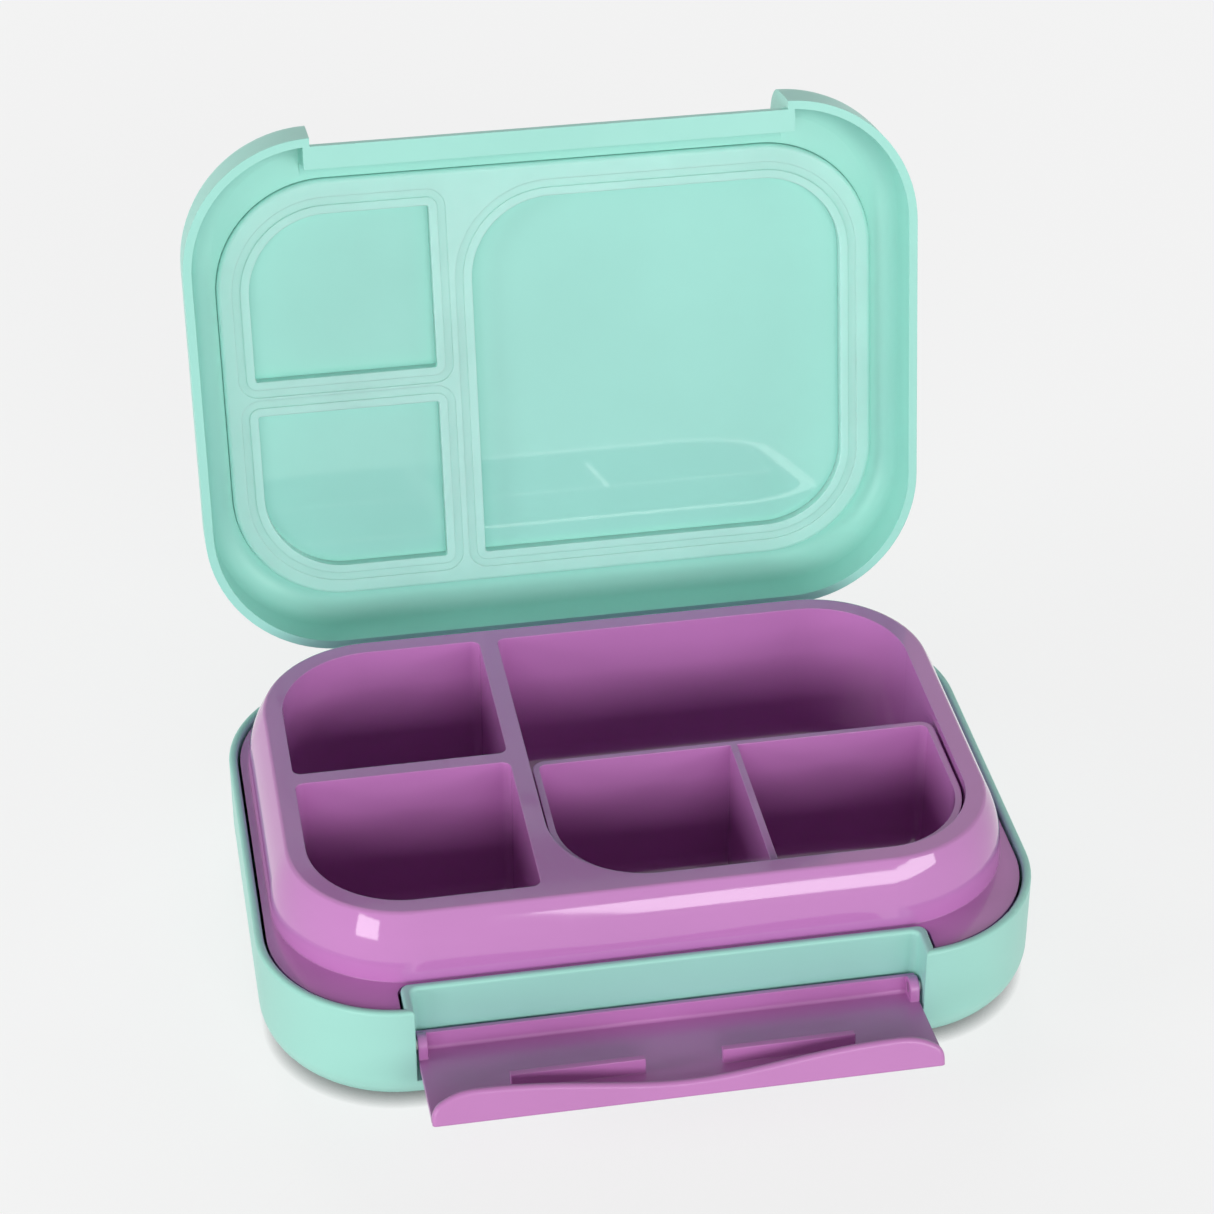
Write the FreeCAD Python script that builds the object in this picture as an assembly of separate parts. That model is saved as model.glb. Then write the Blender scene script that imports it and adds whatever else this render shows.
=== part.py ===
import FreeCAD, Part
import os

# Lunch box: a tub with a compartment tray, a hinged lid and a front latch.
# Millimetres. Z up, table at Z = 0, X along the long side, Y towards the lid hinge.
# X = 0, Y = 0 is the middle of the tray compartments.
# The box is modelled open: the lid and the latch stand at their open stops.

# Box outline
box_width = 215.0
corner_radius = 39.0

# Tub
base_height = 33.5
base_wall = 2.4
base_floor = 2.5
bottom_round = 11.5
base_rim_round = 1.0

# Latch recess in the front of the tub
recess_inset = 38.5
recess_gap = 1.5
recess_sill_drop = 8.6
recess_round = 2.2
cheek_wall = 2.5
cheek_round = 2.5

# Compartments, seen from above
cells_depth = 116.6
left_cells_width = 60.3
side_divider = 5.3
cross_divider = 4.4
cell_corner = 27.0
cell_corner_small = 2.5
cell_floor_round = 8.0

# Food tray
tray_rise = 18.0
tray_rim = 5.3
tray_shoulder = 5.5
tray_rim_round = 1.2
tray_wall = 1.9
tray_gap = 0.8
flange_sink = 1.2
flange_thickness = 1.8
flange_side_width = 2.0
flange_rear_width = 2.1
flange_front_width = 10.5

# Portion cup in the front of the large compartment
cup_gap = 0.9
cup_wall = 1.8
cup_sink = 2.4
cup_divider = 2.0
cup_rear_corner = 4.0
cup_length = 57.0

# Lid shell
lid_gap = 0.35
lid_wall = 2.5
lid_roof = 2.4
lid_round = 13.0
lid_cove = 7.2
lid_angle = 100.6
seat_depth = 2.6

# Front of the lid behind the latch
ledge_setback = 2.5
ledge_thickness = 2.3
front_wall_step = 0.6
front_wall_lean = 2.6
front_wall = 2.0
front_cove = 5.6
front_brow_setback = 2.2
front_brow_drop = 4.4
front_brow_chamfer = 5.5

# Lid seal and inner panel
seat_gap = 0.15
seal_thickness = 1.4
seal_lap = 3.15
seal_stand = 2.0
seal_groove_start = 2.5
seal_groove_width = 2.4
seal_groove_depth = 0.4
seal_edge_round = 1.4
seal_window_corner = 0.8
seal_touch_gap = 0.35

# Lid hinge
hinge_gap = 1.0
hinge_rise = 0.9
knuckle_radius = 3.8
hinge_inset = 62.5
lid_knuckle_length = 18.0
base_knuckle_length = 7.0
knuckle_gap = 0.4
knuckle_web = 11.0
hinge_pin_radius = 1.6

# Front latch
latch_pivot_drop = 15.2
latch_angle = 84.0
latch_side_gap = 0.8
latch_face_gap = 0.7
latch_thickness = 2.2
latch_rise = 15.3
latch_leg_drop = 2.2
latch_leg_thickness = 1.4
latch_leg_back = 1.9
latch_foot_round = 3.0
latch_corner_round = 1.0
latch_ear_radius = 3.0
latch_ear_thickness = 2.5
latch_ear_gap = 2.0
latch_rib_height = 4.4
latch_rib_thickness = 2.0
latch_rib_gap = 0.55
latch_rib_start = 10.4
latch_rib_length = 35.7
lip_thickness = 2.4
lip_low = 4.4
lip_high = 9.0
lip_crest_inset = 12.0
lip_end_height = 1.6
lip_lean = 10.0
lip_round = 1.1

# Latch pins
latch_pin_radius = 1.5
latch_pin_grip = 4.2
latch_boss_radius = 4.0
latch_boss_length = 2.5

# Fits and helpers
running_clearance = 0.06
wall_overlap = 1.0
cut_margin = 5.0
tiny = 1e-4
quarter_turn = 90.0

# Plan of the box, from the compartments outwards
half_width = box_width / 2
tray_edge = tray_rim + tray_shoulder
box_edge = tray_gap + base_wall
cells_right = half_width - box_edge - flange_side_width - tray_edge
cells_left = -cells_right
cells_back = cells_depth / 2
cells_front = -cells_back
divider_left = cells_left + left_cells_width
divider_right = divider_left + side_divider
tray_reach = cells_back + tray_edge
front_reach = tray_reach + flange_front_width + box_edge
rear_reach = tray_reach + flange_rear_width + box_edge
recess_half_width = half_width - recess_inset
recess_reach = tray_reach + recess_gap + base_wall
ledge_reach = front_reach - ledge_setback
wall_foot_reach = recess_reach + front_wall_step
wall_top_reach = wall_foot_reach - front_wall_lean
brow_reach = wall_top_reach + front_wall - front_brow_setback

# Levels
tray_top = base_height + tray_rise
tray_floor_top = base_floor + tray_wall
lid_rim = base_height + lid_gap
seal_face = tray_top + seal_touch_gap
plateau_level = seal_face + seal_stand
lid_top = plateau_level + seat_depth + lid_roof
latch_top = base_height + latch_rise

# Hinge axes
hinge_x = half_width - hinge_inset
hinge_y = rear_reach + knuckle_radius + hinge_gap
hinge_z = base_height + hinge_rise
pivot_y = -recess_reach - latch_ear_radius - latch_ear_gap
pivot_z = base_height - latch_pivot_drop
recess_sill = pivot_z - recess_sill_drop


def vec(x, y, z):
    return FreeCAD.Vector(x, y, z)


def outline(x0, x1, y0, y1, radii, z):
    """Rounded rectangle at height z; radii run front-left, front-right, back-right, back-left."""
    corners = ((x0, y0, 1, 1), (x1, y0, -1, 1), (x1, y1, -1, -1), (x0, y1, 1, -1))
    starts = []
    arcs = []
    for index, (x, y, sx, sy) in enumerate(corners):
        radius = radii[index]
        on_x = vec(x + sx * radius, y, z)
        on_y = vec(x, y + sy * radius, z)
        first, last = (on_y, on_x) if index % 2 == 0 else (on_x, on_y)
        centre = vec(x + sx * radius, y + sy * radius, z)
        middle = centre + (vec(x, y, z) - centre).normalize() * radius
        arcs.append(Part.Arc(first, middle, last).toShape())
        starts.append((first, last))
    edges = []
    for index, arc in enumerate(arcs):
        following = starts[(index + 1) % len(starts)][0]
        edges.append(arc)
        edges.append(Part.makeLine(starts[index][1], following))
    return Part.Wire(edges)


def prism(x0, x1, y0, y1, radii, z0, z1):
    """Upright prism on a rounded rectangle."""
    return Part.Face(outline(x0, x1, y0, y1, radii, z0)).extrude(vec(0, 0, z1 - z0))


def even(radius):
    return (radius, radius, radius, radius)


def grown(box, reach):
    """Outline data of a compartment moved outwards by reach."""
    x0, x1, y0, y1, radii = box
    return (x0 - reach, x1 + reach, y0 - reach, y1 + reach, tuple(r + reach for r in radii))


def block(x0, x1, y0, y1, z0, z1):
    return Part.makeBox(x1 - x0, y1 - y0, z1 - z0, vec(x0, y0, z0))


def bar(points, x0, x1):
    """Bar along X whose section is a polygon of (y, z) points."""
    corners = [vec(x0, y, z) for y, z in points]
    return Part.Face(Part.makePolygon(corners + corners[:1])).extrude(vec(x1 - x0, 0, 0))


def rod(radius, y, z, x0, x1):
    return Part.makeCylinder(radius, x1 - x0, vec(x0, y, z), vec(1, 0, 0))


def edges_at(shape, z):
    """Edges that lie flat at height z."""
    found = []
    for edge in shape.Edges:
        bounds = edge.BoundBox
        if abs(bounds.ZMin - z) < tiny and abs(bounds.ZMax - z) < tiny:
            found.append(edge)
    return found


def rounded_at(shape, z, radius):
    return shape.makeFillet(radius, edges_at(shape, z))


def mirrored(shape):
    return shape.mirror(vec(0, 0, 0), vec(1, 0, 0))


def both_sides(shape):
    return [shape, mirrored(shape)]


def box_prism(inset, z0, z1):
    """Prism on the box outline moved inwards by inset."""
    return prism(-half_width + inset, half_width - inset, -front_reach + inset, rear_reach - inset,
                 even(corner_radius - inset), z0, z1)


def recess_block(side, reach, radius, z0, z1):
    """Everything in front of Y = -reach between X = -side and X = side, its rear corners rounded."""
    ahead = -front_reach - cut_margin - radius
    space = block(-side, side, ahead, -reach, z0, z1)
    corners = [edge for edge in space.Edges
               if edge.BoundBox.YMin > -reach - tiny and edge.BoundBox.XLength < tiny]
    return space.makeFillet(radius, corners)


def curved_wall(foot, top, bend):
    """Edge that rises upright from foot and curves over to top; bend points from foot to its centre."""
    centre = foot + bend
    middle = centre + ((foot + top) * 0.5 - centre).normalize() * bend.Length
    return Part.Arc(foot, middle, top).toShape()


def flared(x, y, radius, z0, z1, lean):
    """Solid on a rounded rectangle of half sizes x and y whose walls curve inwards by lean."""
    bend = ((z1 - z0) ** 2 + lean ** 2) / (2 * lean)

    def half_section(across, half):
        foot = across * half + vec(0, 0, z0)
        top = across * (half - lean) + vec(0, 0, z1)
        edges = [curved_wall(foot, top, across * -bend)]
        edges.append(Part.makeLine(top, vec(0, 0, z1)))
        edges.append(Part.makeLine(vec(0, 0, z1), vec(0, 0, z0)))
        edges.append(Part.makeLine(vec(0, 0, z0), foot))
        return Part.Face(Part.Wire(edges))

    flat_x = x - radius
    flat_y = y - radius
    corner = half_section(vec(1, 0, 0), radius).revolve(vec(0, 0, 0), vec(0, 0, 1), quarter_turn)
    corner.translate(vec(flat_x, flat_y, 0))
    side = half_section(vec(1, 0, 0), x).extrude(vec(0, flat_y, 0))
    back = half_section(vec(0, 1, 0), y).extrude(vec(flat_x, 0, 0))
    quarter = side.fuse([back, corner]).removeSplitter()
    half = quarter.fuse(mirrored(quarter)).removeSplitter()
    return half.fuse(half.mirror(vec(0, 0, 0), vec(0, 1, 0))).removeSplitter()


def knuckle_positions():
    """X ranges of the tub knuckles and of the lid knuckles, for both hinges."""
    tub = []
    lid = []
    for side in (-1, 1):
        middle = side * hinge_x
        lid_half = lid_knuckle_length / 2
        lid.append((middle - lid_half, middle + lid_half))
        inner = lid_half + knuckle_gap
        outer = inner + base_knuckle_length
        tub.append((middle - outer, middle - inner))
        tub.append((middle + inner, middle + outer))
    return tub, lid


def knuckle(x0, x1, web_start, web_end):
    """Hinge barrel with a web that runs onto the rear wall between two heights."""
    barrel = rod(knuckle_radius, hinge_y, hinge_z, x0, x1)
    slope = 1 if web_end > web_start else -1
    reach = knuckle_radius * 2 ** -0.5
    inside = rear_reach - wall_overlap
    points = ((inside, web_start), (hinge_y, hinge_z), (hinge_y + reach, hinge_z + slope * reach),
              (inside, web_end))
    return barrel.fuse(bar(points, x0, x1))


def hinge_bores(radius, ranges):
    return [rod(radius, hinge_y, hinge_z, x0 - cut_margin, x1 + cut_margin) for x0, x1 in ranges]


def cells():
    """Outline data of the three compartments."""
    big, small = cell_corner, cell_corner_small
    half = cross_divider / 2
    back = (cells_left, divider_left, half, cells_back, (small, small, small, big))
    front = (cells_left, divider_left, cells_front, -half, (big, small, small, small))
    large = (divider_right, cells_right, cells_front, cells_back, (big, big, big, small))
    return back, front, large


def make_base():
    tub = rounded_at(box_prism(0, 0, base_height), 0, bottom_round)
    above = base_height + cut_margin
    hollow = box_prism(base_wall, base_floor, above)
    hollow = rounded_at(hollow, base_floor, bottom_round - base_floor)
    kept = recess_block(recess_half_width + cheek_wall, recess_reach - base_wall, cheek_round, 0, above)
    recess = recess_block(recess_half_width, recess_reach, recess_round, recess_sill, above)
    tub = tub.cut(hollow.cut(kept)).cut(recess)
    tub = rounded_at(tub, base_height, base_rim_round)
    ranges = knuckle_positions()[0]
    web_top = base_height - base_rim_round
    for x0, x1 in ranges:
        tub = tub.fuse(knuckle(x0, x1, web_top, web_top - knuckle_web))
    tub = tub.cut(hollow.cut(kept))
    boss_start = recess_half_width
    boss_end = recess_half_width + cheek_wall + latch_boss_length
    for boss in both_sides(rod(latch_boss_radius, pivot_y, pivot_z, boss_start, boss_end)):
        tub = tub.fuse(boss)
    tub = tub.cut(hinge_bores(hinge_pin_radius, ranges))
    bore = rod(latch_pin_radius + running_clearance, pivot_y, pivot_z,
               recess_half_width - cut_margin, boss_end + cut_margin)
    return tub.cut(both_sides(bore)).removeSplitter()


def make_tray():
    foot_x = cells_right + tray_edge
    foot_y = tray_reach
    foot_radius = cell_corner + tray_edge
    flange_top = base_height - flange_sink
    flange_bottom = flange_top - flange_thickness
    skirt = flared(foot_x, foot_y, foot_radius, flange_top, tray_top, tray_shoulder)
    skirt = rounded_at(skirt, tray_top, tray_rim_round)
    hollow_x = foot_x - tray_wall
    hollow_y = foot_y - tray_wall
    hollow_radius = foot_radius - tray_wall
    hollow = flared(hollow_x, hollow_y, hollow_radius, flange_top, tray_top - tray_wall, tray_shoulder)
    below = prism(-hollow_x, hollow_x, -hollow_y, hollow_y, even(hollow_radius),
                  flange_bottom - cut_margin, flange_top)
    flange = box_prism(box_edge, flange_bottom, flange_top)
    flange = flange.cut(recess_block(recess_half_width + cheek_wall + tray_gap,
                                     recess_reach - base_wall - tray_gap,
                                     cheek_round + tray_gap, 0, tray_top))
    foot = prism(-foot_x, foot_x, -foot_y, foot_y, even(foot_radius), flange_bottom, flange_top)
    tray = skirt.fuse([flange, foot]).cut([hollow, below])
    wall_top = tray_top - tray_wall / 2
    pockets = []
    for cell in cells():
        shell = prism(*grown(cell, tray_wall), base_floor, wall_top)
        tray = tray.fuse(rounded_at(shell, base_floor, cell_floor_round))
        pocket = prism(*cell, tray_floor_top, tray_top + cut_margin)
        pockets.append(rounded_at(pocket, tray_floor_top, cell_floor_round - tray_wall))
    rib_foot = base_floor + cell_floor_round
    half = cross_divider / 2
    divider_front = cells_front + cell_corner
    ribs = (block(divider_left, divider_right, divider_front, cells_back, rib_foot, wall_top),
            block(cells_left, divider_left, -half, half, rib_foot, wall_top))
    tray = tray.fuse(ribs)
    return tray.cut(pockets).removeSplitter()


def make_cup():
    x0 = divider_right + cup_gap
    x1 = cells_right - cup_gap
    y0 = cells_front + cup_gap
    y1 = y0 + cup_length
    top = tray_top - cup_sink
    front_corner = cell_corner - cup_gap
    floor_round = cell_floor_round - tray_wall + cup_gap
    radii = (front_corner, front_corner, cup_rear_corner, cup_rear_corner)
    body = rounded_at(prism(x0, x1, y0, y1, radii, tray_floor_top, top), tray_floor_top, floor_round)
    inner = (x0 + cup_wall, x1 - cup_wall, y0 + cup_wall, y1 - cup_wall, tuple(r - cup_wall for r in radii))
    floor = tray_floor_top + cup_wall
    pocket = rounded_at(prism(*inner, floor, top + cut_margin), floor, floor_round - cup_wall)
    middle = (x0 + x1) / 2
    wall = block(middle - cup_divider / 2, middle + cup_divider / 2, y0, y1, 0, top + cut_margin)
    return body.cut(pocket.cut(wall)).removeSplitter()


def plateau_prism(shrink, z0, z1):
    """Prism on the flat inside the lid, its outline moved inwards by shrink."""
    edge = lid_wall + lid_cove
    x = half_width - edge
    radius = cell_corner + x - cells_right
    y0 = front_cove - wall_top_reach
    y1 = rear_reach - edge
    return prism(-x + shrink, x - shrink, y0 + shrink, y1 - shrink, even(radius - shrink), z0, z1)


def opened_lid(shape):
    shape.rotate(vec(0, hinge_y, hinge_z), vec(1, 0, 0), -lid_angle)
    return shape


def make_lid_shell():
    below = lid_rim - cut_margin
    above = lid_top + cut_margin
    ahead = -front_reach - cut_margin
    shell = rounded_at(box_prism(0, lid_rim, lid_top), lid_top, lid_round)
    hollow = rounded_at(box_prism(lid_wall, below, plateau_level), plateau_level, lid_cove)
    inner_wall = ((ahead, below), (-wall_foot_reach, below), (-wall_foot_reach, lid_rim),
                  (-wall_top_reach, plateau_level), (0, plateau_level), (0, above), (ahead, above))
    wall_end = recess_half_width + front_wall
    front = bar(inner_wall, -wall_end, wall_end)
    cove_edge = [edge for edge in front.Edges
                 if edge.BoundBox.YLength < tiny and abs(edge.BoundBox.YMin + wall_top_reach) < tiny]
    hollow = hollow.cut(front.makeFillet(front_cove, cove_edge))
    ledge_top = lid_rim + ledge_thickness
    brow = lid_top - front_brow_drop
    outer_wall = ((ahead, below), (-ledge_reach, below), (-ledge_reach, ledge_top),
                  (-wall_foot_reach - front_wall, ledge_top),
                  (-wall_top_reach - front_wall, plateau_level - front_cove), (-brow_reach, brow),
                  (-brow_reach + front_brow_chamfer, lid_top), (-brow_reach + front_brow_chamfer, above),
                  (ahead, above))
    notch = bar(outer_wall, -recess_half_width, recess_half_width)
    shell = shell.cut(hollow).cut(notch)
    ranges = knuckle_positions()[1]
    web_foot = lid_rim + lid_gap
    for x0, x1 in ranges:
        shell = shell.fuse(knuckle(x0, x1, web_foot, web_foot + knuckle_web))
    shell = shell.cut(hollow).cut(plateau_prism(0, plateau_level, plateau_level + seat_depth))
    shell = shell.cut(hinge_bores(hinge_pin_radius + running_clearance, ranges))
    return opened_lid(shell.removeSplitter())


def make_lid_panel():
    return opened_lid(plateau_prism(seat_gap, plateau_level + seal_thickness, plateau_level + seat_depth))


def make_lid_seal():
    seal = rounded_at(plateau_prism(seat_gap, seal_face, plateau_level + seal_thickness),
                      seal_face, seal_edge_round)
    groove_top = seal_face + seal_groove_depth
    for x0, x1, y0, y1, radii in cells():
        window = (x0 + seal_lap, x1 - seal_lap, y0 + seal_lap, y1 - seal_lap,
                  tuple(max(r - seal_lap, seal_window_corner) for r in radii))
        inner = grown(window, seal_groove_start)
        outer = grown(window, seal_groove_start + seal_groove_width)
        groove = prism(*outer, seal_face - cut_margin, groove_top)
        seal = seal.cut(groove.cut(prism(*inner, seal_face - cut_margin, groove_top)))
        seal = seal.cut(prism(*window, seal_face - cut_margin, plateau_level + seat_depth))
    return opened_lid(seal.removeSplitter())


def make_hinge_pins():
    half = lid_knuckle_length / 2 + knuckle_gap + base_knuckle_length
    pin = rod(hinge_pin_radius, hinge_y, hinge_z, hinge_x - half, hinge_x + half)
    return Part.makeCompound(both_sides(pin))


def opened_latch(shape):
    shape.rotate(vec(0, pivot_y, pivot_z), vec(1, 0, 0), latch_angle)
    return shape


def make_lip(face_y, root_z):
    """Wavy lip along the free edge of the latch: low in the middle, high near both rounded ends."""
    end = recess_half_width - latch_side_gap
    crest = end - lip_crest_inset
    high = face_y + lip_high
    low = face_y + lip_low
    shoulder = face_y + lip_end_height
    wave = Part.BSplineCurve()
    wave.interpolate(Points=[vec(crest, high, 0), vec(0, low, 0), vec(-crest, high, 0)],
                     InitialTangent=vec(-1, 0, 0), FinalTangent=vec(-1, 0, 0))
    edges = [wave.toShape()]
    slant = 2 ** -0.5
    for side in (-1, 1):
        corner = vec(side * end, shoulder, 0)
        middle = vec(side * (crest + lip_crest_inset * slant), shoulder + (high - shoulder) * slant, 0)
        tip = vec(side * crest, high, 0)
        bend = Part.BSplineCurve()
        bend.interpolate(Points=[corner, middle, tip],
                         InitialTangent=vec(0, 1, 0), FinalTangent=vec(-side, 0, 0))
        edges.append(bend.toShape())
        edges.append(Part.makeLine(corner, vec(side * end, face_y, 0)))
    edges.append(Part.makeLine(vec(-end, face_y, 0), vec(end, face_y, 0)))
    edges = Part.__sortEdges__(edges)
    lip = Part.Face(Part.Wire(edges)).extrude(vec(0, 0, lip_thickness))
    tip_edges = [edge for edge in lip.Edges
                 if edge.BoundBox.ZLength < tiny and edge.BoundBox.YMax > face_y + tiny]
    lip = lip.makeFillet(lip_round, tip_edges)
    lip.rotate(vec(0, face_y, 0), vec(1, 0, 0), -lip_lean)
    lip.translate(vec(0, 0, root_z))
    return lip


def make_latch():
    end = recess_half_width - latch_side_gap
    inner_y = -ledge_reach - latch_face_gap
    outer_y = inner_y - latch_thickness
    plate_top = latch_top - lip_thickness
    leg_top = pivot_z - latch_leg_drop
    leg_bottom = leg_top - latch_leg_thickness
    leg_back = pivot_y + latch_leg_back
    solid = block(-end, end, outer_y, leg_back, leg_bottom, plate_top)
    foot = [e for e in solid.Edges if e.BoundBox.XLength > end
            and abs(e.BoundBox.YMin - outer_y) < tiny and abs(e.BoundBox.ZMin - leg_bottom) < tiny]
    solid = solid.makeFillet(latch_foot_round, foot)
    clear = block(-end, end, inner_y, leg_back + cut_margin, leg_top, latch_top + cut_margin)
    inner_corner = [e for e in clear.Edges if e.BoundBox.XLength > end
                    and abs(e.BoundBox.YMax - inner_y) < tiny and abs(e.BoundBox.ZMax - leg_top) < tiny]
    latch = solid.cut(clear.makeFillet(latch_corner_round, inner_corner))
    ear_start = end - latch_ear_thickness
    ear = rod(latch_ear_radius, pivot_y, pivot_z, ear_start, end)
    ear = ear.fuse(block(ear_start, end, inner_y, pivot_y, leg_top, pivot_z + latch_ear_radius))
    ear = ear.cut(block(ear_start, end, pivot_y - cut_margin, pivot_y + cut_margin,
                        leg_bottom - cut_margin, leg_bottom))
    for side in both_sides(ear):
        latch = latch.fuse(side)
    rib_z = lid_rim + ledge_thickness + latch_rib_gap
    rib = block(latch_rib_start, latch_rib_start + latch_rib_length, inner_y - wall_overlap,
                inner_y + latch_rib_height, rib_z, rib_z + latch_rib_thickness)
    for side in both_sides(rib):
        latch = latch.fuse(side)
    latch = latch.fuse(make_lip(outer_y, plate_top))
    hole = rod(latch_pin_radius, pivot_y, pivot_z, ear_start - cut_margin, end + cut_margin)
    return opened_latch(latch.cut(both_sides(hole)).removeSplitter())


def make_latch_pins():
    inner = recess_half_width - latch_side_gap - latch_ear_thickness
    pin = rod(latch_pin_radius, pivot_y, pivot_z, inner, recess_half_width + latch_pin_grip)
    return Part.makeCompound(both_sides(pin))


pieces = {
    "base_shell": make_base(),
    "food_tray": make_tray(),
    "portion_cup": make_cup(),
    "lid_shell": make_lid_shell(),
    "lid_inner_panel": make_lid_panel(),
    "lid_seal": make_lid_seal(),
    "lid_hinge_pins": make_hinge_pins(),
    "front_latch": make_latch(),
    "latch_pins": make_latch_pins(),
}

os.makedirs("parts", exist_ok=True)
for name, shape in pieces.items():
    shape.exportStep("parts/" + name + ".step")
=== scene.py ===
"""Looks of an open lunch box: satin mint tub and lid, glossy purple tray, frosted seal, purple latch."""

import logging
import math
from dataclasses import dataclass
from enum import Enum

import bpy
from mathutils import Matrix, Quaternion, Vector

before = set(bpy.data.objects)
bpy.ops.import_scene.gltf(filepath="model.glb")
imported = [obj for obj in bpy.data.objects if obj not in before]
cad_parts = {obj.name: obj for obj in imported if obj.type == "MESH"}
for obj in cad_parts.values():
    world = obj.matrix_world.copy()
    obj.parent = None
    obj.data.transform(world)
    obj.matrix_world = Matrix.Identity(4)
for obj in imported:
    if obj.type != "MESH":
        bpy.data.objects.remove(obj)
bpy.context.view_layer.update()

LOG = logging.getLogger("lunch_box")
MM = 0.001
WHITE = (1.0, 1.0, 1.0, 1.0)
EDGE_SAMPLES = 6
NOISE_LOW = 0.3
NOISE_HIGH = 0.7

Colour = tuple[float, float, float]


class Surface(Enum):
    """How a plastic piece leaves its mould."""

    SATIN = "satin"
    SILK = "silk"
    GLOSS = "gloss"
    POLISHED = "polished"


@dataclass(frozen=True)
class Grain:
    """Shallow unevenness of a surface, with the size of one patch and its depth in metres."""

    size: float
    depth: float
    strength: float


class Graph:
    """Shader nodes of one material or of the world."""

    def __init__(self, owner: bpy.types.Material | bpy.types.World) -> None:
        """Start with no nodes.

        Args:
            owner: Material or world that the nodes belong to.
        """
        owner.use_nodes = True
        self.owner = owner
        self.tree = owner.node_tree
        self.tree.nodes.clear()

    def add(self, kind: str, values: dict[str | int, object] | None = None,
            **settings: object) -> bpy.types.Node:
        """Add a node, set its options and fill or link its inputs.

        Args:
            kind: Blender's node type.
            values: Input name or number, and the value or the socket that feeds it.
            settings: Options of the node itself.

        Returns:
            The new node.
        """
        node = self.tree.nodes.new(kind)
        for option, value in settings.items():
            setattr(node, option, value)
        for key, value in (values or {}).items():
            if isinstance(value, bpy.types.NodeSocket):
                self.tree.links.new(value, node.inputs[key])
            else:
                node.inputs[key].default_value = value
        return node

    def math(self, operation: str, first: object, second: object = 0.0) -> bpy.types.NodeSocket:
        """Add one calculation with two values or sockets."""
        return self.add("ShaderNodeMath", {0: first, 1: second}, operation=operation).outputs[0]

    def noise(self, size: float, detail: float = 3.0) -> bpy.types.NodeSocket:
        """Add noise that is fixed to the piece.

        Args:
            size: Size of one patch, in metres.
            detail: Number of finer layers.

        Returns:
            The noise value's socket.
        """
        place = self.add("ShaderNodeTexCoord").outputs["Object"]
        values = {"Vector": place, "Scale": 1 / size, "Detail": detail}
        return self.add("ShaderNodeTexNoise", values).outputs[0]

    def spread(self, value: bpy.types.NodeSocket, low: float, high: float) -> bpy.types.NodeSocket:
        """Stretch a noise value over the range from low to high."""
        values = {"Value": value, "From Min": NOISE_LOW, "From Max": NOISE_HIGH, "To Min": low, "To Max": high}
        return self.add("ShaderNodeMapRange", values).outputs[0]

    def tint(self, colour: Colour, tone: bpy.types.NodeSocket) -> bpy.types.NodeSocket:
        """Make a colour lighter or darker.

        Args:
            colour: Linear colour.
            tone: Factor for the colour.

        Returns:
            The tinted colour's socket.
        """
        hue = self.add("ShaderNodeRGB").outputs[0]
        hue.default_value = (*colour, 1.0)
        return self.add("ShaderNodeVectorMath", {0: hue, "Scale": tone}, operation="SCALE").outputs[0]

    def soft_edges(self, radius: float) -> bpy.types.NodeSocket:
        """Make the light see edges that are rounded by a radius in metres."""
        return self.add("ShaderNodeBevel", {"Radius": radius}, samples=EDGE_SAMPLES).outputs[0]

    def relief(self, grain: Grain, normal: bpy.types.NodeSocket) -> bpy.types.NodeSocket:
        """Give a smooth surface its grain.

        Args:
            grain: The grain.
            normal: Normal of the smooth surface.

        Returns:
            The uneven normal's socket.
        """
        values = {"Height": self.noise(grain.size), "Distance": grain.depth, "Strength": grain.strength,
                  "Normal": normal}
        return self.add("ShaderNodeBump", values).outputs[0]

    def finish(self, shader: bpy.types.NodeSocket) -> bpy.types.Material:
        """Send the shader to the output and hand back the material."""
        self.add("ShaderNodeOutputMaterial", {"Surface": shader})
        return self.owner


@dataclass(frozen=True)
class Sheen:
    """What the light finds on one kind of surface."""

    roughness: tuple[float, float]
    mirror: float
    coat: float
    grain: Grain


MOULD_GRAIN = Grain(size=0.35 * MM, depth=0.012 * MM, strength=0.35)
SHRINK_WAVES = Grain(size=16 * MM, depth=0.02 * MM, strength=0.35)

SHEENS = {
    Surface.SATIN: Sheen(roughness=(0.36, 0.44), mirror=0.9, coat=0.0, grain=MOULD_GRAIN),
    Surface.SILK: Sheen(roughness=(0.285, 0.325), mirror=0.9, coat=0.0, grain=SHRINK_WAVES),
    Surface.GLOSS: Sheen(roughness=(0.05, 0.08), mirror=0.7, coat=0.25, grain=SHRINK_WAVES),
    Surface.POLISHED: Sheen(roughness=(0.025, 0.05), mirror=0.55, coat=0.15, grain=SHRINK_WAVES),
}


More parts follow.
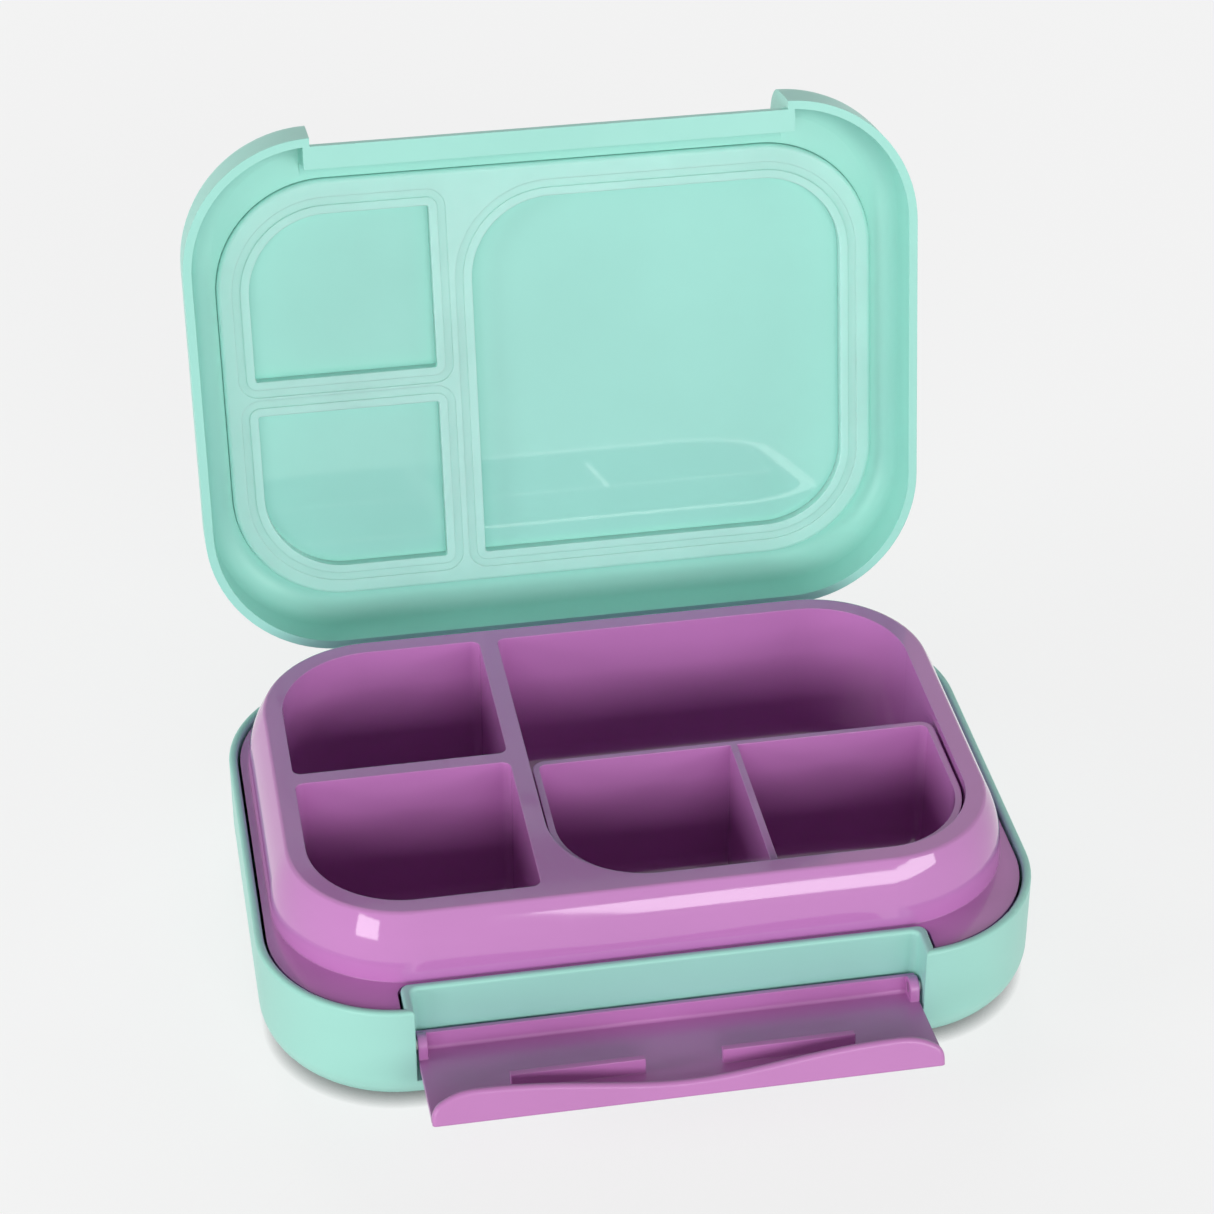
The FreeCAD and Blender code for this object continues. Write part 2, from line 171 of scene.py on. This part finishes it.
@dataclass(frozen=True)
class MouldedPlastic:
    """Coloured plastic with soft edges, a painted highlight that lightens its colour along the edges, faint
    mottling and handling marks.
    """

    name: str
    colour: Colour
    surface: Surface
    edge_gain: float = 4.0
    # Strength of the painted highlight: how much lighter the colour is painted along the edges.
    painted_edge_highlight: float = 0.10
    edge_haze: float = 0.06
    mottle: float = 0.025
    mottle_size: float = 45 * MM
    smudge_size: float = 16 * MM
    smudge_detail: float = 5.0
    index: float = 1.49
    coat_roughness: float = 0.04

    def material(self, name: str, edge: float) -> bpy.types.Material:
        """Build the shader of one piece.

        Args:
            name: Name of the material.
            edge: Radius of the soft edges, in metres.

        Returns:
            The material.
        """
        sheen = SHEENS[self.surface]
        graph = Graph(bpy.data.materials.new(name))
        soft = graph.soft_edges(edge)
        flat = graph.add("ShaderNodeNewGeometry").outputs["Normal"]
        turned = graph.add("ShaderNodeVectorMath", {0: soft, 1: flat}, operation="DOT_PRODUCT").outputs["Value"]
        # Edge mask from the rounded normal: it paints a highlight into the colour along the edges and raises
        # the roughness there.
        edge_highlight_and_haze_raw = graph.math("MULTIPLY", graph.math("SUBTRACT", 1.0, turned), self.edge_gain)
        edge_highlight_and_haze = graph.add("ShaderNodeClamp", {"Value": edge_highlight_and_haze_raw}).outputs[0]
        tone = graph.spread(graph.noise(self.mottle_size), 1 - self.mottle, 1 + self.mottle)
        # Random tone plus a painted highlight along the edges.
        tone_and_painted_highlight = graph.math("ADD", tone, graph.math("MULTIPLY", edge_highlight_and_haze, self.painted_edge_highlight))
        smudge = graph.spread(graph.noise(self.smudge_size, self.smudge_detail), *sheen.roughness)
        rough = graph.math("ADD", smudge, graph.math("MULTIPLY", edge_highlight_and_haze, self.edge_haze))
        values = {"Base Color": graph.tint(self.colour, tone_and_painted_highlight), "Roughness": rough,
                  "Normal": graph.relief(sheen.grain, soft), "IOR": self.index,
                  "Specular IOR Level": sheen.mirror, "Coat Weight": sheen.coat,
                  "Coat Roughness": self.coat_roughness}
        return graph.finish(graph.add("ShaderNodeBsdfPrincipled", values).outputs[0])


@dataclass(frozen=True)
class FrostedSilicone:
    """Milky, slightly see-through silicone."""

    name: str
    colour: Colour
    milkiness: float = 0.6
    depth: float = 3 * MM
    scatter: Colour = (1.0, 1.0, 1.0)
    tone: tuple[float, float] = (0.97, 1.03)
    tone_size: float = 20 * MM
    roughness: tuple[float, float] = (0.30, 0.42)
    smudge_size: float = 6 * MM
    smudge_detail: float = 5.0
    grain: Grain = Grain(size=0.5 * MM, depth=0.01 * MM, strength=0.4)
    index: float = 1.41

    def material(self, name: str, edge: float) -> bpy.types.Material:
        """Build the shader of one piece.

        Args:
            name: Name of the material.
            edge: Radius of the soft edges, in metres.

        Returns:
            The material.
        """
        graph = Graph(bpy.data.materials.new(name))
        base = graph.tint(self.colour, graph.spread(graph.noise(self.tone_size), *self.tone))
        rough = graph.spread(graph.noise(self.smudge_size, self.smudge_detail), *self.roughness)
        values = {"Base Color": base, "Roughness": rough, "IOR": self.index,
                  "Normal": graph.relief(self.grain, graph.soft_edges(edge)),
                  "Subsurface Weight": self.milkiness, "Subsurface Radius": self.scatter,
                  "Subsurface Scale": self.depth}
        return graph.finish(graph.add("ShaderNodeBsdfPrincipled", values).outputs[0])


@dataclass(frozen=True)
class DrawnWire:
    """Plain steel wire with fine marks all over."""

    name: str
    colour: Colour
    tone: tuple[float, float] = (0.92, 1.05)
    tone_size: float = 3 * MM
    roughness: tuple[float, float] = (0.28, 0.42)
    smudge_size: float = 1.2 * MM
    grain: Grain = Grain(size=0.3 * MM, depth=0.01 * MM, strength=0.3)

    def material(self, name: str, edge: float) -> bpy.types.Material:
        """Build the shader of one piece.

        Args:
            name: Name of the material.
            edge: Radius of the soft edges, in metres.

        Returns:
            The material.
        """
        graph = Graph(bpy.data.materials.new(name))
        base = graph.tint(self.colour, graph.spread(graph.noise(self.tone_size), *self.tone))
        rough = graph.spread(graph.noise(self.smudge_size), *self.roughness)
        values = {"Base Color": base, "Roughness": rough, "Metallic": 1.0,
                  "Normal": graph.relief(self.grain, graph.soft_edges(edge))}
        return graph.finish(graph.add("ShaderNodeBsdfPrincipled", values).outputs[0])


Finish = MouldedPlastic | FrostedSilicone | DrawnWire

MINT_TUB = MouldedPlastic("mint_satin", (0.315, 0.648, 0.562), Surface.SATIN)
MINT_LID = MouldedPlastic("mint_satin", (0.320, 0.690, 0.598), Surface.SATIN)
MINT_PANEL = MouldedPlastic("mint_gloss", (0.335, 0.712, 0.622), Surface.POLISHED)
PURPLE_TRAY = MouldedPlastic("purple_gloss", (0.515, 0.192, 0.495), Surface.GLOSS)
PURPLE_LATCH = MouldedPlastic("purple_silk", (0.495, 0.180, 0.462), Surface.SILK)
SILICONE = FrostedSilicone("clear_silicone", (0.460, 0.760, 0.695))
WIRE = DrawnWire("pin_steel", (0.60, 0.60, 0.61))


def dress(node: str, finish: Finish, edge: float) -> None:
    """Give a piece its finish.

    Args:
        node: Name of the piece.
        finish: Its finish.
        edge: Radius of its soft edges, in metres.
    """
    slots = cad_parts[node].data.materials
    slots.clear()
    slots.append(finish.material(f"{node}_{finish.name}", edge))
    LOG.info("%s: %s", node, finish.name)


@dataclass
class Tub:
    """Lower shell with the food tray and the portion cup in it."""

    shell_edge: float = 0.5 * MM
    tray_edge: float = 0.5 * MM
    cup_edge: float = 0.5 * MM
    pin_edge: float = 0.1 * MM

    def dress_shell(self) -> None:
        """Give the shell its satin plastic and the hinge pins their steel."""
        dress("base_shell", MINT_TUB, self.shell_edge)
        dress("lid_hinge_pins", WIRE, self.pin_edge)

    def dress_tray(self) -> None:
        """Give the tray and the cup their glossy plastic."""
        dress("food_tray", PURPLE_TRAY, self.tray_edge)
        dress("portion_cup", PURPLE_TRAY, self.cup_edge)

    def build(self) -> None:
        """Dress every piece of the tub."""
        self.dress_shell()
        self.dress_tray()


@dataclass
class Lid:
    """Hinged shell with its inner panel and its seal."""

    shell_edge: float = 0.2 * MM
    panel_edge: float = 0.5 * MM
    seal_edge: float = 0.4 * MM

    def dress_shell(self) -> None:
        """Give the shell its satin plastic and the panel its polish."""
        dress("lid_shell", MINT_LID, self.shell_edge)
        dress("lid_inner_panel", MINT_PANEL, self.panel_edge)

    def dress_seal(self) -> None:
        """Give the seal its silicone."""
        dress("lid_seal", SILICONE, self.seal_edge)

    def build(self) -> None:
        """Dress every piece of the lid."""
        self.dress_shell()
        self.dress_seal()


@dataclass
class Latch:
    """Front latch and its pins."""

    plate_edge: float = 0.6 * MM
    pin_edge: float = 0.1 * MM

    def build(self) -> None:
        """Give the latch its silky plastic and the pins their steel."""
        dress("front_latch", PURPLE_LATCH, self.plate_edge)
        dress("latch_pins", WIRE, self.pin_edge)


@dataclass(frozen=True)
class SoftLight:
    """Rectangular soft box that points at the lunch box.

    Azimuth runs from the front towards the right, elevation from the floor upwards and roll clockwise as seen
    from the lunch box, all in degrees. A light that isn't mirrored leaves no highlight on polished plastic.
    """

    name: str
    azimuth: float
    elevation: float
    distance: float
    size: tuple[float, float]
    power: float
    roll: float = 0.0
    mirrored: bool = True
    target: tuple[float, float, float] = (0.0, 0.0, 0.06)

    def build(self) -> None:
        """Add the light to the scene."""
        turn = math.radians(self.azimuth)
        rise = math.radians(self.elevation)
        level = math.cos(rise)
        away = Vector((math.sin(turn) * level, -math.cos(turn) * level, math.sin(rise)))
        lamp = bpy.data.lights.new(self.name, "AREA")
        lamp.shape = "RECTANGLE"
        lamp.size, lamp.size_y = self.size
        lamp.energy = self.power
        holder = bpy.data.objects.new(self.name, lamp)
        holder.location = Vector(self.target) + away * self.distance
        spin = Quaternion(away, math.radians(self.roll))
        holder.rotation_euler = (spin @ (-away).to_track_quat("-Z", "Y")).to_euler()
        holder.visible_glossy = self.mirrored
        bpy.context.scene.collection.objects.link(holder)
        LOG.info("light %s", self.name)


LIGHTS = (
    SoftLight("front_fill", azimuth=-2.0, elevation=20.0, distance=4.2, size=(3.2, 1.2), power=86.0,
              mirrored=False),
    SoftLight("right_front_box", azimuth=27.0, elevation=10.5, distance=4.0, size=(2.9, 0.8), power=34.0,
              roll=8.0),
    SoftLight("left_front_box", azimuth=-39.0, elevation=6.0, distance=4.0, size=(1.25, 1.25), power=24.5),
    SoftLight("left_side_box", azimuth=-82.0, elevation=12.0, distance=3.6, size=(1.4, 1.4), power=66.0,
              mirrored=False),
    SoftLight("right_side_box", azimuth=75.0, elevation=12.0, distance=3.6, size=(1.4, 1.4), power=26.0,
              mirrored=False),
    SoftLight("back_box", azimuth=178.0, elevation=28.0, distance=3.2, size=(2.2, 1.0), power=40.0,
              mirrored=False),
)


@dataclass
class Studio:
    """Pale floor, soft light and the camera of the photograph."""

    floor_size: float = 12.0
    floor_tone: float = 0.22
    floor_bounce: float = 0.75
    floor_mottle: float = 0.005
    floor_mottle_size: float = 0.6
    glow: float = 0.75
    # Reach and samples of the painted contact shadow in the floor's glow.
    painted_shadow_reach: float = 4.5 * MM
    painted_shadow_samples: int = 4
    backdrop: Colour = (0.888, 0.888, 0.888)
    ambient: float = 0.12
    camera_place: tuple[float, float, float] = (-0.13763, -0.75390, 0.61278)
    camera_azimuth: float = 10.111
    camera_elevation: float = 33.867
    lens: float = 100.0
    sensor: float = 36.0
    nearest: float = 0.01

    def shown_ray(self, graph: Graph) -> bpy.types.NodeSocket:
        """Tell the rays that show the backdrop from those that light the box.

        Args:
            graph: Nodes to add to.

        Returns:
            Socket that is 1 for camera, glossy and transmitted rays.
        """
        path = graph.add("ShaderNodeLightPath").outputs
        mirror = graph.math("MAXIMUM", path["Is Glossy Ray"], path["Is Transmission Ray"])
        return graph.math("MAXIMUM", path["Is Camera Ray"], mirror)

    def build_floor(self) -> None:
        """Add the floor, whose glow is darkened close to the box as a painted contact shadow."""
        half = self.floor_size / 2
        mesh = bpy.data.meshes.new("floor")
        corners = [(-half, -half, 0), (half, -half, 0), (half, half, 0), (-half, half, 0)]
        mesh.from_pydata(corners, [], [(0, 1, 2, 3)])
        floor = bpy.data.objects.new("floor", mesh)
        bpy.context.scene.collection.objects.link(floor)
        graph = Graph(bpy.data.materials.new("pale_floor"))
        shown = self.shown_ray(graph)
        levels = {"Value": shown, "To Min": self.floor_bounce, "To Max": self.floor_tone}
        share = graph.add("ShaderNodeMapRange", levels).outputs[0]
        mottle = graph.spread(graph.noise(self.floor_mottle_size), 1 - self.floor_mottle, 1 + self.floor_mottle)
        matte = graph.add("ShaderNodeBsdfDiffuse", {"Color": graph.math("MULTIPLY", share, mottle)}).outputs[0]
        # Painted contact shadow: ambient occlusion darkens the floor's glow close to the box.
        painted_contact_shadow = graph.add("ShaderNodeAmbientOcclusion", {"Distance": self.painted_shadow_reach},
                         samples=self.painted_shadow_samples).outputs["AO"]
        # Glow of the floor with the painted contact shadow in it.
        level = graph.math("MULTIPLY", graph.math("MULTIPLY", shown, painted_contact_shadow), self.glow)
        light = graph.add("ShaderNodeEmission", {"Color": WHITE, "Strength": level}).outputs[0]
        both = graph.add("ShaderNodeAddShader", {0: matte, 1: light}).outputs[0]
        mesh.materials.append(graph.finish(both))

    def build_world(self) -> None:
        """Light the scene softly from all round, with a pale backdrop behind it."""
        world = bpy.data.worlds.new("studio")
        bpy.context.scene.world = world
        graph = Graph(world)
        shown = self.shown_ray(graph)
        soft = graph.add("ShaderNodeBackground", {"Color": WHITE, "Strength": self.ambient})
        plain = graph.add("ShaderNodeBackground", {"Color": (*self.backdrop, 1.0), "Strength": 1.0})
        mix = graph.add("ShaderNodeMixShader", {0: shown, 1: soft.outputs[0], 2: plain.outputs[0]})
        graph.add("ShaderNodeOutputWorld", {"Surface": mix.outputs[0]})

    def build_camera(self) -> None:
        """Add the camera that took the photograph."""
        azimuth = math.radians(self.camera_azimuth)
        elevation = math.radians(self.camera_elevation)
        level = math.cos(elevation)
        forward = Vector((math.sin(azimuth) * level, math.cos(azimuth) * level, -math.sin(elevation)))
        lens = bpy.data.cameras.new("camera")
        lens.lens = self.lens
        lens.sensor_width = self.sensor
        lens.clip_start = self.nearest
        holder = bpy.data.objects.new("camera", lens)
        holder.location = self.camera_place
        holder.rotation_euler = forward.to_track_quat("-Z", "Y").to_euler()
        bpy.context.scene.collection.objects.link(holder)
        bpy.context.scene.camera = holder

    def build(self) -> None:
        """Set up floor, light, world and camera."""
        self.build_floor()
        self.build_world()
        for light in LIGHTS:
            light.build()
        self.build_camera()
        bpy.context.scene.view_settings.view_transform = "Standard"


def main() -> None:
    """Dress the lunch box and set up the studio."""
    logging.basicConfig(level=logging.INFO, format="%(message)s")
    Tub().build()
    Lid().build()
    Latch().build()
    Studio().build()


if __name__ == "__main__":
    main()
